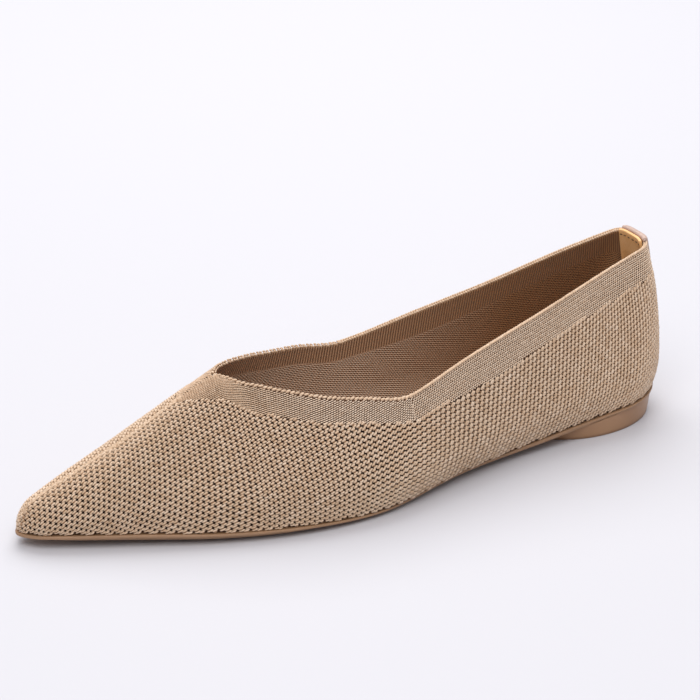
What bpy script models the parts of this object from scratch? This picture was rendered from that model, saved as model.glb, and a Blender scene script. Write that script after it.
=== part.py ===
"""Pointed toe knit flat, a left shoe: outsole, heel, upper, insole, heel tab and heel grip.

All sizes are millimetres until a mesh is made. Along the shoe x runs from the heel back to the
toe tip, y is positive on the wearer's left, and z is the height over the floor.
"""

import bmesh
import bpy
import numpy as np

MM = 0.001
LENGTH = 262.0
# The middle of the finished shoe's box, which becomes the origin.
MIDDLE = (131.22, 4.4)

# The last, section by section: side edges, ridge line, feather edge height, top height,
# how far the wall leans in, and how far its foot tucks under.
SECTIONS = (
    ("x", "left", "right", "ridge", "bottom", "top", "lean", "tuck"),
    (0.0, 28.0, -28.0, 0.0, 12.3, 82.5, 0.48, 2.6),
    (30.0, 28.0, -29.0, 0.0, 9.2, 85.0, 0.44, 4.0),
    (60.0, 29.5, -28.0, 0.0, 6.1, 87.5, 0.38, 5.0),
    (100.0, 37.0, -27.5, 0.0, 4.6, 85.5, 0.31, 6.0),
    (140.0, 44.5, -32.5, -1.0, 3.0, 73.0, 0.29, 4.7),
    (172.0, 42.0, -36.0, -2.5, 3.9, 57.0, 0.39, 4.2),
    (200.0, 33.0, -33.0, -3.0, 4.7, 43.5, 0.38, 3.4),
    (225.0, 20.5, -25.5, -3.6, 5.6, 30.7, 0.21, 2.4),
    (245.0, 10.0, -18.0, -4.5, 5.7, 22.0, 0.10, 1.9),
    (262.0, 0.5, -12.0, -5.7, 5.6, 13.8, 0.05, 1.8),
)
HEEL_ROUND_LOW = 27.7
HEEL_ROUND_TOP = 10.0
HEEL_SQUARE_TOP = 3.5
WALL_HEIGHT = 56.0
TOE_ROUND = 6.7
TOE_NOSE = 8.7
TUCK_HEIGHT = 16.0
BULGE_HEIGHT = 10.0
BACK_TOP_IN = 7.1
BACK_LOW_IN = 2.2
BACK_REACH = 60.0

# The throat edge from the back to the point of the V, and the depth of the collar band below it.
TOPLINE = (
    ("x", "z", "band"),
    (0.0, 68.0, 10.5),
    (23.0, 63.5, 11.0),
    (59.0, 54.7, 11.3),
    (93.5, 47.9, 11.5),
    (122.5, 41.1, 8.6),
    (141.0, 43.2, 8.6),
    (160.0, 45.8, 9.6),
    (174.5, 48.7, 10.8),
    (181.0, 49.8, 12.0),
)
THROAT_POINT = 186.5
BAND_AT_POINT = 13.0
BAND_AHEAD = 15.5

# The outsole: the thickness that shows at its edge, the height of its tread, and how far it
# stands out past the feather edge. At the waist it lies under the wall's foot.
SOLE = (
    ("x", "edge", "tread", "proud"),
    (0.0, 0.8, 11.2, 0.4),
    (30.0, 1.0, 7.9, 0.4),
    (60.0, 1.5, 4.0, 0.2),
    (100.0, 1.1, 2.0, -1.4),
    (124.0, 1.0, 0.7, -1.2),
    (144.0, 0.9, 0.0, -0.2),
    (182.0, 1.0, 0.0, 0.4),
    (206.0, 1.05, 0.9, 0.4),
    (232.0, 1.15, 2.4, 0.4),
    (250.0, 1.2, 3.4, 0.4),
    (262.0, 1.15, 4.1, 0.4),
)
GAP = 0.3

WALL = 1.8
BAND_STEP = 0.3
INSOLE_GAP = 0.5
INSOLE_THICK = 2.0

# The heel block is an oval wedge: middle, half length, half width and squareness, floor and top.
HEEL_FLOOR = (33.0, 30.2, 24.2, 2.05)
HEEL_TOP = (33.6, 31.2, 24.3, 2.3)
HEEL_SIDE = -0.3

TAB_HALF_WIDTH = 7.8
# Half of the folded leather's outline: down the wall from the topline, and out from its face.
TAB_PROFILE = (
    (14.0, 0.05), (9.0, 0.05), (4.5, 0.05), (0.0, 0.05), (-0.35, -0.2), (-0.35, -1.85),
    (-1.2, -1.9), (-1.7, -1.5), (-1.9, -0.7), (-1.7, 0.1), (-1.2, 0.5),
    (0.0, 0.6), (4.5, 0.6), (9.0, 0.6), (13.7, 0.5),
)
GRIP_HALF_WIDTH = 8.6
GRIP_FROM = -1.45
GRIP_FACE = -2.25
GRIP_THICK = 1.2

STATIONS = 53
HEEL_POINTS = 72


def column(table, name):
    """One named column of a table whose first row holds the names."""
    place = table[0].index(name)
    return np.array([row[place] for row in table[1:]])


def smooth(places, values, at, level=False):
    """A cubic through the values. With level, it runs level where the values turn."""
    slopes = np.gradient(values, places)
    if level:
        steps = np.diff(values)
        slopes[1:-1][steps[:-1] * steps[1:] <= 0] = 0.0
    at = np.asarray(at, float)
    i = np.clip(np.searchsorted(places, at) - 1, 0, len(places) - 2)
    width = places[i + 1] - places[i]
    t = (at - places[i]) / width
    near = values[i] * (1 + 2 * t) + slopes[i] * width * t
    far = values[i + 1] * (3 - 2 * t) + slopes[i + 1] * width * (t - 1)
    return near * (1 - t) ** 2 + far * t**2


def section(name, x):
    return smooth(column(SECTIONS, "x"), column(SECTIONS, name), x)


def sole(name, x):
    return smooth(column(SOLE, "x"), column(SOLE, name), x, level=True)


def along(u):
    """x of a station: u runs from 0 at the heel back to 1 at the toe tip, close at both ends."""
    return LENGTH * (1 - np.cos(np.pi * np.asarray(u, float))) / 2


def nose(x):
    """How much of its full height the last has kept at x, near the toe tip."""
    ahead = np.clip((x - (LENGTH - TOE_NOSE)) / TOE_NOSE, 0, 1)
    return np.maximum(1 - ahead**2.5, 0) ** 0.4


def rise_at(x):
    return (section("top", x) - section("bottom", x)) * nose(x)


def last_point(u, angle, side):
    """A point of the last's side: angle 0 at the feather edge and a quarter turn at the ridge."""
    x = along(u)
    angle = np.asarray(angle, float)
    rise = rise_at(x)
    up = rise * np.sin(angle)
    # The heel back is round in plan at the sole and nearly square at the topline.
    share = np.clip(up / WALL_HEIGHT, 0, 1)
    radius = HEEL_ROUND_LOW + (HEEL_ROUND_TOP - HEEL_ROUND_LOW) * share
    power = 2 + (HEEL_SQUARE_TOP - 2) * share**2
    round_heel = (1 - np.clip(1 - x / radius, 0, 1) ** power) ** (1 / power)
    round_toe = np.sqrt(1 - np.clip((x - (LENGTH - TOE_ROUND)) / TOE_ROUND, 0, 1) ** 2)
    keep = round_heel * round_toe
    ridge = section("ridge", x)
    edge = section("left", x) if side > 0 else section("right", x)
    half = side * (edge - ridge) * keep
    out = half * np.cos(angle) * (1 - section("lean", x) * np.sin(angle))
    low = np.clip(1 - up / (np.minimum(TUCK_HEIGHT, 0.45 * rise) + 1e-6), 0, 1)
    out = np.maximum(out - section("tuck", x) * keep * low**2, 0)
    above = BACK_TOP_IN * (np.maximum(up - BULGE_HEIGHT, 0) / 50) ** 1.5
    below = BACK_LOW_IN * (np.maximum(BULGE_HEIGHT - up, 0) / BULGE_HEIGHT) ** 2
    shift = (above + below) * np.clip(1 - x / BACK_REACH, 0, 1) ** 2
    shape = np.broadcast_shapes(np.shape(x), np.shape(angle))
    parts = (x + shift, ridge + side * out, section("bottom", x) + up)
    return np.stack([np.broadcast_to(part, shape) for part in parts], axis=-1)


def outward(u, angle, side):
    """The unit normal of the last, pointing away from the foot."""
    if u > 0.9999:
        return np.array([1.0, 0.0, 0.0])
    step = 1e-3
    ahead = last_point(min(u + step, 1), angle, side) - last_point(max(u - step, 0), angle, side)
    upward = last_point(u, angle + step, side) - last_point(u, max(angle - step, 0), side)
    # On the heel's centre line and on the ridge both sides need the same normal.
    if u < 1e-9:
        ahead = np.array([0.0, side, 0.0])
    if angle > np.pi / 2 - 1e-9:
        upward = np.array([0.0, -side, 0.0])
    normal = -side * np.cross(ahead, upward)
    return normal / np.linalg.norm(normal)


def top_angle(u):
    """The angle of the throat edge, or of the ridge ahead of the V."""
    x = along(u)
    places = column(TOPLINE, "x")
    heights = (column(TOPLINE, "z") - section("bottom", places)) / rise_at(places)
    angles = np.append(np.arcsin(heights), np.pi / 2)
    found = smooth(np.append(places, THROAT_POINT), angles, min(float(x), THROAT_POINT), level=True)
    return min(float(found), np.pi / 2)


def band_depth(u):
    """How far the collar band reaches down the wall from the topline."""
    x = float(along(u))
    if x > THROAT_POINT:
        return BAND_AT_POINT * max(1 - (x - THROAT_POINT) / BAND_AHEAD, 0)
    places = np.append(column(TOPLINE, "x"), THROAT_POINT)
    return float(smooth(places, np.append(column(TOPLINE, "band"), BAND_AT_POINT), x))


def wall_lengths(u, side):
    """Angles from the topline down to the feather edge, and the wall's length down to each."""
    angles = np.linspace(top_angle(u), 0, 81)
    points = last_point(u, angles, side)
    steps = np.linalg.norm(np.diff(points, axis=0), axis=1)
    return angles, np.concatenate([[0], np.cumsum(steps)])


def wall_point(u, angle, side, out):
    return last_point(u, angle, side) + out * outward(u, angle, side)


def rim_point(u, side, out):
    """A point beside the feather edge, at its height."""
    normal = outward(u, 0, side)
    normal[2] = 0
    return last_point(u, 0, side) + out * normal / np.linalg.norm(normal)


def station_of(x):
    return float(np.arccos(1 - 2 * x / LENGTH) / np.pi)


def around():
    """(u, side) of each point of a loop: the left side to the toe, then the right side back."""
    us = np.linspace(0, 1, STATIONS)
    for place in (THROAT_POINT, THROAT_POINT + BAND_AHEAD):
        us[np.argmin(np.abs(along(us) - place))] = station_of(place)
    return [(u, 1) for u in us] + [(u, -1) for u in us[-2:0:-1]]


def make(name, points, faces):
    """An object from points in millimetres, with points that coincide made one."""
    points = np.array(points, float)
    points[:, 0] -= MIDDLE[0]
    points[:, 1] -= MIDDLE[1]
    mesh = bpy.data.meshes.new(name)
    mesh.from_pydata((points * MM).tolist(), [], faces)
    work = bmesh.new()
    work.from_mesh(mesh)
    bmesh.ops.remove_doubles(work, verts=work.verts, dist=1e-6)
    bmesh.ops.dissolve_degenerate(work, edges=work.edges, dist=1e-7)
    bmesh.ops.recalc_face_normals(work, faces=work.faces)
    work.to_mesh(mesh)
    work.free()
    thing = bpy.data.objects.new(name, mesh)
    bpy.context.scene.collection.objects.link(thing)
    return thing


def skin(name, loops, joined=False, leave_out=()):
    """A mesh over a row of loops with as many points each. Joined, the last meets the first."""
    loops = np.array(loops)
    rows, count = loops.shape[:2]
    faces = []
    for row in range(rows if joined else rows - 1):
        after = (row + 1) % rows
        for i in range(count):
            k = (i + 1) % count
            if (row, i) not in leave_out:
                faces.append((row * count + i, row * count + k, after * count + k, after * count + i))
    return make(name, loops.reshape(-1, 3), faces)


def bar(name, loops):
    """A mesh over a row of loops, with the first and the last filled."""
    loops = np.array(loops)
    rows, count = loops.shape[:2]
    faces = [tuple(range(count)), tuple(range((rows - 1) * count, rows * count))[::-1]]
    for row in range(rows - 1):
        for i in range(count):
            k = (i + 1) % count
            faces.append((row * count + i, row * count + k, (row + 1) * count + k, (row + 1) * count + i))
    return make(name, loops.reshape(-1, 3), faces)


def spine(x):
    """The middle line of the sole, which the rings of a flat piece shrink to."""
    x = np.clip(x, 26.0, 246.0)
    return np.stack([x, (section("left", x) + section("right", x)) / 2], axis=-1)


def shrunk(loop, share):
    """The plan of a loop of stations, pulled in towards the middle line."""
    middle = spine(np.array([along(u) for u, _ in around()]))
    return middle + share * (loop[:, :2] - middle)


def with_height(plan, height):
    return np.column_stack([plan, height(plan[:, 0])])


def build_upper():
    """One shell, open at the throat and underneath, with the collar band as a step in its wall."""
    stations = around()
    down_shares = (0.16, 0.33, 0.5, 0.66, 0.8, 0.9, 0.96, 1.0)
    outer = [[] for _ in range(3 + len(down_shares))]
    inner = [[] for _ in range(1 + len(down_shares))]
    for u, side in stations:
        angles, lengths = wall_lengths(u, side)
        total = lengths[-1]
        band = band_depth(u)
        has_band = band > 0
        step_at = max(band, min(2.0, 0.12 * total))
        low = step_at + min(0.5, 0.03 * total)
        recess = BAND_STEP if has_band else 0.0
        downs = [0.0, step_at, low]
        downs += [low + share * (total - low) for share in down_shares]
        outs = [-recess, -recess] + [0.0] * (1 + len(down_shares))
        at = np.interp(downs, lengths, angles)
        for row, (angle, out) in enumerate(zip(at, outs)):
            outer[row].append(wall_point(u, angle, side, out))
        inner_at = np.interp([0.0] + downs[3:], lengths, angles)
        for row, angle in enumerate(inner_at[:-1]):
            inner[row].append(wall_point(u, angle, side, -WALL))
        inner[-1].append(rim_point(u, side, -WALL))
    loops = outer[::-1] + inner
    # Ahead of the V the two sides meet at the ridge, so there is no rim to close there.
    rim_row = len(outer) - 1
    us = [u for u, _ in stations]
    point = station_of(THROAT_POINT) - 1e-6
    closed = [i for i in range(len(us)) if min(us[i], us[(i + 1) % len(us)]) > point]
    return skin("upper", loops, joined=True, leave_out={(rim_row, i) for i in closed})


def build_outsole():
    stations = around()
    rim = np.array([rim_point(u, side, sole("proud", along(u))) for u, side in stations])

    def top(x):
        return section("bottom", np.clip(x, 0, LENGTH)) - GAP

    def edge(x):
        return top(x) - sole("edge", np.clip(x, 0, LENGTH))

    def tread(x):
        return sole("tread", np.clip(x, 0, LENGTH))

    def bevel(x):
        return edge(x) * 0.45 + tread(x) * 0.55

    loops = [with_height(shrunk(rim, share), top) for share in (0.0, 0.55, 1.0)]
    loops.append(with_height(shrunk(rim, 1.0), edge))
    loops.append(with_height(shrunk(rim, 0.93), bevel))
    loops += [with_height(shrunk(rim, share), tread) for share in (0.8, 0.45, 0.0)]
    return skin("outsole", loops)


def oval(middle, half_length, half_width, squareness):
    turn = np.linspace(0, 2 * np.pi, HEEL_POINTS, endpoint=False)
    power = 2 / squareness
    x = middle + half_length * np.sign(np.cos(turn)) * np.abs(np.cos(turn)) ** power
    y = HEEL_SIDE + half_width * np.sign(np.sin(turn)) * np.abs(np.sin(turn)) ** power
    return np.column_stack([x, y])


def build_heel():
    floor = oval(*HEEL_FLOOR)
    head = oval(*HEEL_TOP)

    def inside(plan, share):
        middle = np.column_stack([np.clip(plan[:, 0], 24.0, 44.0), np.full(len(plan), HEEL_SIDE)])
        return middle + share * (plan - middle)

    def under_sole(x):
        return sole("tread", np.clip(x, 0, LENGTH)) - GAP

    def ground(x):
        return np.zeros_like(x)

    loops = [with_height(inside(head, share), under_sole) for share in (0.0, 0.5, 1.0)]
    loops.append(with_height(floor, lambda x: np.full_like(x, 0.5)))
    loops += [with_height(inside(floor, share), ground) for share in (0.98, 0.0)]
    return skin("heel", loops)


def build_insole():
    stations = around()
    rim = np.array([rim_point(u, side, -WALL - INSOLE_GAP) for u, side in stations])

    def base(x):
        return section("bottom", x)

    def top(x):
        return base(x) + INSOLE_THICK

    loops = [with_height(shrunk(rim, share), top) for share in (0.0, 0.55, 1.0)]
    loops += [with_height(shrunk(rim, share), base) for share in (1.0, 0.55, 0.0)]
    return skin("insole", loops)


BACK_STATIONS = np.linspace(0, 0.34, 60)
BACK_WALLS = {side: [wall_lengths(u, side) for u in BACK_STATIONS] for side in (1, -1)}


def back_point(across, down, out):
    """A point at the heel back: across from the centre, down from the topline, out from the wall."""
    side = 1 if across >= 0 else -1
    us = BACK_STATIONS
    level = max(down, 0.0)
    angles = np.array([np.interp(level, lengths, found) for found, lengths in BACK_WALLS[side]])
    reach = side * last_point(us, angles, side)[:, 1]
    u = float(np.interp(abs(across), reach, us))
    angle = float(np.interp(u, us, angles))
    point = wall_point(u, angle, side, out)
    if down < 0:
        upward = last_point(u, angle, side) - last_point(u, angle - 0.02, side)
        point = point - down * upward / np.linalg.norm(upward)
    return point


def build_heel_tab():
    places = np.linspace(-TAB_HALF_WIDTH, TAB_HALF_WIDTH, 13)
    return bar("heel_tab", [[back_point(y, down, out) for down, out in TAB_PROFILE] for y in places])


def build_heel_grip():
    lengths = wall_lengths(0.0, 1)[1]
    low = lengths[-1] - INSOLE_THICK - 0.9
    downs = np.concatenate([[GRIP_FROM, 0.0], np.linspace(low / 12, low, 12)])
    faces = [(down, GRIP_FACE) for down in downs]
    faces += [(down, GRIP_FACE - GRIP_THICK) for down in downs[::-1]]
    places = np.linspace(-GRIP_HALF_WIDTH, GRIP_HALF_WIDTH, 13)
    return bar("heel_grip", [[back_point(y, down, out) for down, out in faces] for y in places])


def clear_scene():
    for thing in list(bpy.data.objects):
        bpy.data.objects.remove(thing)


clear_scene()
build_outsole()
build_heel()
build_upper()
build_insole()
build_heel_tab()
build_heel_grip()
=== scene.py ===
"""Looks of a pointed toe knit flat, a left shoe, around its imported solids.

Sizes are millimetres until a mesh is made. Along the shoe x runs from the heel back to the toe tip,
y is positive on the wearer's left, and z is the height over the floor. The tables of the last are the
part's own, so every stitch sits on the wall that carries it.
"""

import bmesh
import bpy
import numpy as np
from mathutils import Matrix, Vector


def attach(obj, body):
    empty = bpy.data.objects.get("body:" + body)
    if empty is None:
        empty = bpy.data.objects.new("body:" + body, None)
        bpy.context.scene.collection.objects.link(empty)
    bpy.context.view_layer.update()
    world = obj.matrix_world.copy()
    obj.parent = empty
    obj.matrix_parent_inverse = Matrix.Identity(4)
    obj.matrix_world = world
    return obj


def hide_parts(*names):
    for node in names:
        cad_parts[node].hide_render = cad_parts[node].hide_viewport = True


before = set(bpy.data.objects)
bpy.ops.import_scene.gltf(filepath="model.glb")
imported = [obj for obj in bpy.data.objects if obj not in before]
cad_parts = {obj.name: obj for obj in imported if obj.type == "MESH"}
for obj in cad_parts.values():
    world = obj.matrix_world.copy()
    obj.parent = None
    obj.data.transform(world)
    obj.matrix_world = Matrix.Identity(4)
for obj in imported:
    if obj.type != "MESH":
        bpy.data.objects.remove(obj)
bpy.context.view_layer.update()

MM = 0.001
LENGTH = 262.0
MIDDLE = (131.22, 4.4)

# The view of the photograph: its frame, the lens in pixels, and where the camera stands and looks.
PHOTO_PIXELS = 700
LENS_PIXELS = 2800
SENSOR = 36.0
VIEW_AZIMUTH = 150.6
VIEW_ELEVATION = 24.8
VIEW_DISTANCE = 1020.4
VIEW_TARGET = (129.1, -4.4, 45.6)

# The last, section by section: side edges, ridge line, feather edge height, top height,
# how far the wall leans in, and how far its foot tucks under.
SECTIONS = (
    ("x", "left", "right", "ridge", "bottom", "top", "lean", "tuck"),
    (0.0, 28.0, -28.0, 0.0, 12.3, 82.5, 0.48, 2.6),
    (30.0, 28.0, -29.0, 0.0, 9.2, 85.0, 0.44, 4.0),
    (60.0, 29.5, -28.0, 0.0, 6.1, 87.5, 0.38, 5.0),
    (100.0, 37.0, -27.5, 0.0, 4.6, 85.5, 0.31, 6.0),
    (140.0, 44.5, -32.5, -1.0, 3.0, 73.0, 0.29, 4.7),
    (172.0, 42.0, -36.0, -2.5, 3.9, 57.0, 0.39, 4.2),
    (200.0, 33.0, -33.0, -3.0, 4.7, 43.5, 0.38, 3.4),
    (225.0, 20.5, -25.5, -3.6, 5.6, 30.7, 0.21, 2.4),
    (245.0, 10.0, -18.0, -4.5, 5.7, 22.0, 0.10, 1.9),
    (262.0, 0.5, -12.0, -5.7, 5.6, 13.8, 0.05, 1.8),
)
HEEL_ROUND_LOW = 27.7
HEEL_ROUND_TOP = 10.0
HEEL_SQUARE_TOP = 3.5
HEEL_EVEN_TO = 40.0
WALL_HEIGHT = 56.0
TOE_ROUND = 6.7
TOE_NOSE = 8.7
TUCK_HEIGHT = 16.0
BULGE_HEIGHT = 10.0
BACK_TOP_IN = 7.1
BACK_LOW_IN = 2.2
BACK_REACH = 60.0

# The throat edge from the back to the point of the V, and the depth of the collar band below it.
TOPLINE = (
    ("x", "z", "band"),
    (0.0, 68.0, 10.5),
    (23.0, 63.5, 11.0),
    (59.0, 54.7, 11.3),
    (93.5, 47.9, 11.5),
    (122.5, 41.1, 8.6),
    (141.0, 43.2, 8.6),
    (160.0, 45.8, 9.6),
    (174.5, 48.7, 10.8),
    (181.0, 49.8, 12.0),
)
THROAT_POINT = 186.5
BAND_AT_POINT = 13.0
BAND_AHEAD = 15.5
BAND_FRONT = THROAT_POINT + BAND_AHEAD

# The outsole: the thickness that shows at its edge, the height of its tread, and how far it
# stands out past the feather edge. At the waist it lies under the wall's foot.
SOLE = (
    ("x", "edge", "tread", "proud"),
    (0.0, 0.8, 11.2, 0.4),
    (30.0, 1.0, 7.9, 0.4),
    (60.0, 1.5, 4.0, 0.2),
    (100.0, 1.1, 2.0, -1.4),
    (124.0, 1.0, 0.7, -1.2),
    (144.0, 0.9, 0.0, -0.2),
    (182.0, 1.0, 0.0, 0.4),
    (206.0, 1.05, 0.9, 0.4),
    (232.0, 1.15, 2.4, 0.4),
    (250.0, 1.2, 3.4, 0.4),
    (262.0, 1.15, 4.1, 0.4),
)
GAP = 0.3
WALL = 1.8
INSOLE_THICK = 2.0
# The sock's rim reaches into the lining by this much, so no light shows beside it.
INSOLE_TUCK = 0.1
# The heel block is an oval wedge: middle, half length, half width and squareness, floor and top.
HEEL_FLOOR = (33.0, 30.2, 24.2, 2.05)
HEEL_TOP = (33.6, 31.2, 24.3, 2.3)
HEEL_SIDE = -0.3
# The stretches of the middle line that the heel's and the sole's rings shrink to.
HEEL_SPINE = (24.0, 44.0)
SOLE_SPINE = (26.0, 246.0)
TAB_HALF_WIDTH = 7.8
# The folded leather's outline: down the wall from the topline, and out from its face.
TAB_PROFILE = (
    (14.0, 0.05), (9.0, 0.05), (4.5, 0.05), (0.0, 0.05), (-0.35, -0.2), (-0.35, -1.85),
    (-1.2, -1.9), (-1.7, -1.5), (-1.9, -0.7), (-1.7, 0.1), (-1.2, 0.5),
    (0.0, 0.6), (4.5, 0.6), (9.0, 0.6), (13.7, 0.5),
)
# The rounding of the leather's edges, and how far the tab's ends are pressed to the wall.
TAB_FILLET = 0.45
GRIP_FILLET = 0.4
TAB_PRESS = 0.6
GRIP_HALF_WIDTH = 8.6
GRIP_FROM = -1.45
GRIP_FACE = -2.25
GRIP_THICK = 1.2
# How far the leather's lower end stays above the sock.
GRIP_CLEAR = 0.9
# The thread along the grip's top: half its run, the pitch of its stitches, and its depth.
SEWING_HALF = 6.75
SEWING_PITCH = 2.7
SEWING_DOWN = 0.6

# The knit along the shoe: half the spacing of its stitches in a row, how much its rows climb over the
# feather edge towards the toe, how far its columns lean to the toe on their way down, how far apart the
# two legs of a stitch lie, how far the legs slant along the row, how much of their room they fill in
# length and in width, and how dark the gaps look, as shade painted on the inner ply.
KNIT = (
    ("x", "half_pitch", "climb", "lean", "apart", "slant", "long", "wide", "dark"),
    (0.0, 1.42, 0.30, 0.20, 0.09, 0.30, 1.45, 0.43, 0.25),
    (34.0, 1.55, 0.30, 0.22, 0.09, 0.30, 1.45, 0.43, 0.3),
    (55.0, 1.84, 0.30, 0.18, 0.10, 0.32, 1.42, 0.4, 0.45),
    (85.0, 2.26, 0.30, 0.26, 0.12, 0.32, 1.4, 0.33, 0.7),
    (110.0, 2.42, 0.28, 0.20, 0.14, 0.34, 1.36, 0.3, 0.85),
    (135.0, 1.98, 0.18, 0.09, 0.25, 0.62, 1.15, 0.4, 0.9),
    (150.0, 1.95, 0.13, 0.06, 0.32, 0.85, 1.07, 0.43, 0.95),
    (163.0, 1.93, 0.10, 0.03, 0.36, 1.0, 1.03, 0.43, 1.0),
    (182.0, 1.99, 0.04, 0.06, 0.36, 1.0, 1.03, 0.43, 1.0),
    (200.0, 1.99, -0.05, 0.19, 0.35, 1.0, 1.03, 0.43, 1.0),
    (226.0, 1.80, -0.21, 0.33, 0.35, 1.0, 1.03, 0.43, 1.0),
    (243.0, 1.95, -0.28, 0.24, 0.35, 1.0, 1.03, 0.43, 1.0),
    (262.0, 2.05, -0.33, 0.20, 0.35, 1.0, 1.03, 0.43, 1.0),
)
ROW = 1.0
# Columns are counted on the line this share of the wall's length down.
COLUMNS_SET_AT = 0.55
# A stitch's two legs and the bridge to the next stitch. Lengths and widths are shares of the distances
# between stitches, and places are shares of the steps to the right and up. The tip is in degrees.
LEG_RISE = -0.04
LEG_DEPTH = 1.0
LEG_TIP = 9.0
BRIDGE_LENGTH = 0.68
BRIDGE_WIDTH = 0.55
BRIDGE_SINK = 0.16
LEG_SINK = 0.05
VAMP_FROM = 150.0

# The collar band: behind the V rows of strands with strokes between, and round the V one kind of stroke.
BAND_PITCH = ((0.0, 1.0), (40.0, 1.0), (85.0, 1.19), (130.0, 1.2))
BAND_ROW = 0.76
BAND_LEAN = -0.9
BAND_SLANT = -45.0
BAND_TONE = ((0.0, 0.78), (140.0, 0.8), (165.0, 0.71), (185.0, 0.54))
POINT_PITCH = 0.95
POINT_ROW = 0.4
POINT_LEAN = 0.29
POINT_CLIMB = -0.36
POINT_SLANT = 27.0
BAND_RECESS = 0.3
BAND_SINK = 0.3
# How dark the shade painted on the inner ply behind the band is, along the shoe.
BAND_DARK = ((90.0, 0.42), (140.0, 0.44), (180.0, 0.58))
BACKING_OUT = -1.15

# The rolled edge: its loops' pitches and slant, and how far out and up its outer and inner row lie.
EDGE_PITCH = 1.0
POINT_EDGE_PITCH = 1.65
EDGE_SLANT = 30.0
EDGE_ROWS = ((-0.62, 0.05), (-1.45, 0.0))
POINT_EDGE_FROM = 124.0
# The two kinds of band overlap there by this much of u.
OVERLAP_U = 0.0003

# The rows that close the lines where the two sides meet.
FILL_PITCH = 1.1
FILL_ASIDE = 0.8
FILL_SLANT = 40.0
FILL_SIZE = (1.0, 1.0, 2.3)

# How light each kind of yarn stroke is, from 0 to 1, and how much that and its size change by chance.
LEG_TONE = 0.61
# The bridges lie deep between the legs, and their low tone is painted shade.
BRIDGE_TONE = 0.2
FILL_TONE = 0.5
EDGE_TONE = 0.55
THREAD_TONE = 0.45
TONE_SPREAD = 0.035
LOOP_SPREAD = 0.04

# A bead is a ball of few sides, and across its flats it measures this share of its width.
BEAD_SIDES = 6
BEAD_RINGS = 3
FLAT_SHARE = 0.87
# Ahead of this x no stitch lies under the heel tab, however near the centre line.
TAB_REACH = 60.0
SIDES = ((1, "left"), (-1, "right"))
SEED = 11

# Grid sizes: the wall, its rows before they are spread evenly, the knit's search, and the closed pieces.
GRID_U = 421
GRID_V = 161
FINE_V = 241
SEARCH_U = 6001
SHELL_U = 171
SHELL_V = 44
SOLE_U = 191
OVAL_POINTS = 144


def column(table, name):
    """One named column of a table whose first row holds the names."""
    place = table[0].index(name)
    return np.array([row[place] for row in table[1:]])


def smooth(places, values, at, level=False):
    """A cubic through the values. With level, it runs level where the values turn."""
    slopes = np.gradient(values, places)
    if level:
        steps = np.diff(values)
        slopes[1:-1][steps[:-1] * steps[1:] <= 0] = 0.0
    at = np.asarray(at, float)
    i = np.clip(np.searchsorted(places, at) - 1, 0, len(places) - 2)
    width = places[i + 1] - places[i]
    t = (at - places[i]) / width
    near = values[i] * (1 + 2 * t) + slopes[i] * width * t
    far = values[i + 1] * (3 - 2 * t) + slopes[i + 1] * width * (t - 1)
    return near * (1 - t) ** 2 + far * t**2


def running(steps):
    """Running sums of steps, from zero."""
    return np.concatenate([[0.0], np.cumsum(steps)])


def arc_lengths(points, axis=0):
    """Lengths along rows of points, from zero."""
    steps = np.linalg.norm(np.diff(points, axis=axis), axis=-1)
    start = np.zeros_like(np.take(steps, [0], axis=axis))
    return np.concatenate([start, np.cumsum(steps, axis=axis)], axis=axis)


def unit(vectors):
    return vectors / np.linalg.norm(vectors, axis=-1, keepdims=True)


def section(name, x):
    return smooth(column(SECTIONS, "x"), column(SECTIONS, name), x)


def sole(name, x):
    return smooth(column(SOLE, "x"), column(SOLE, name), x, level=True)


def knit(name, x):
    return np.interp(x, column(KNIT, "x"), column(KNIT, name))


def knit_lean(x):
    """Columns that the open knit's columns move towards the toe for each millimetre down."""
    return knit("lean", x) / knit("half_pitch", x)


def along(u):
    """x of a station: u runs from 0 at the heel back to 1 at the toe tip, close at both ends."""
    return LENGTH * (1 - np.cos(np.pi * np.asarray(u, float))) / 2


def station_of(x):
    return np.arccos(1 - 2 * np.asarray(x, float) / LENGTH) / np.pi


def rise_at(x):
    ahead = np.clip((x - (LENGTH - TOE_NOSE)) / TOE_NOSE, 0, 1)
    keep = np.maximum(1 - ahead**2.5, 0) ** 0.4
    return (section("top", x) - section("bottom", x)) * keep


def last_point(x, angle, side):
    """A point of the last's side: angle 0 at the feather edge and a quarter turn at the ridge."""
    rise = rise_at(x)
    up = rise * np.sin(angle)
    # The heel back is round in plan at the sole and nearly square at the topline.
    share = np.clip(up / WALL_HEIGHT, 0, 1)
    radius = HEEL_ROUND_LOW + (HEEL_ROUND_TOP - HEEL_ROUND_LOW) * share
    power = 2 + (HEEL_SQUARE_TOP - 2) * share**2
    round_heel = (1 - np.clip(1 - x / radius, 0, 1) ** power) ** (1 / power)
    round_toe = np.sqrt(1 - np.clip((x - (LENGTH - TOE_ROUND)) / TOE_ROUND, 0, 1) ** 2)
    keep = round_heel * round_toe
    ridge = section("ridge", x)
    edge = section("left", x) if side > 0 else section("right", x)
    half = side * (edge - ridge) * keep
    out = half * np.cos(angle) * (1 - section("lean", x) * np.sin(angle))
    low = np.clip(1 - up / (np.minimum(TUCK_HEIGHT, 0.45 * rise) + 1e-6), 0, 1)
    out = np.maximum(out - section("tuck", x) * keep * low**2, 0)
    above = BACK_TOP_IN * (np.maximum(up - BULGE_HEIGHT, 0) / 50) ** 1.5
    below = BACK_LOW_IN * (np.maximum(BULGE_HEIGHT - up, 0) / BULGE_HEIGHT) ** 2
    shift = (above + below) * np.clip(1 - x / BACK_REACH, 0, 1) ** 2
    parts = (x + shift, ridge + side * out, section("bottom", x) + up)
    return np.stack(np.broadcast_arrays(*parts), axis=-1)


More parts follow.
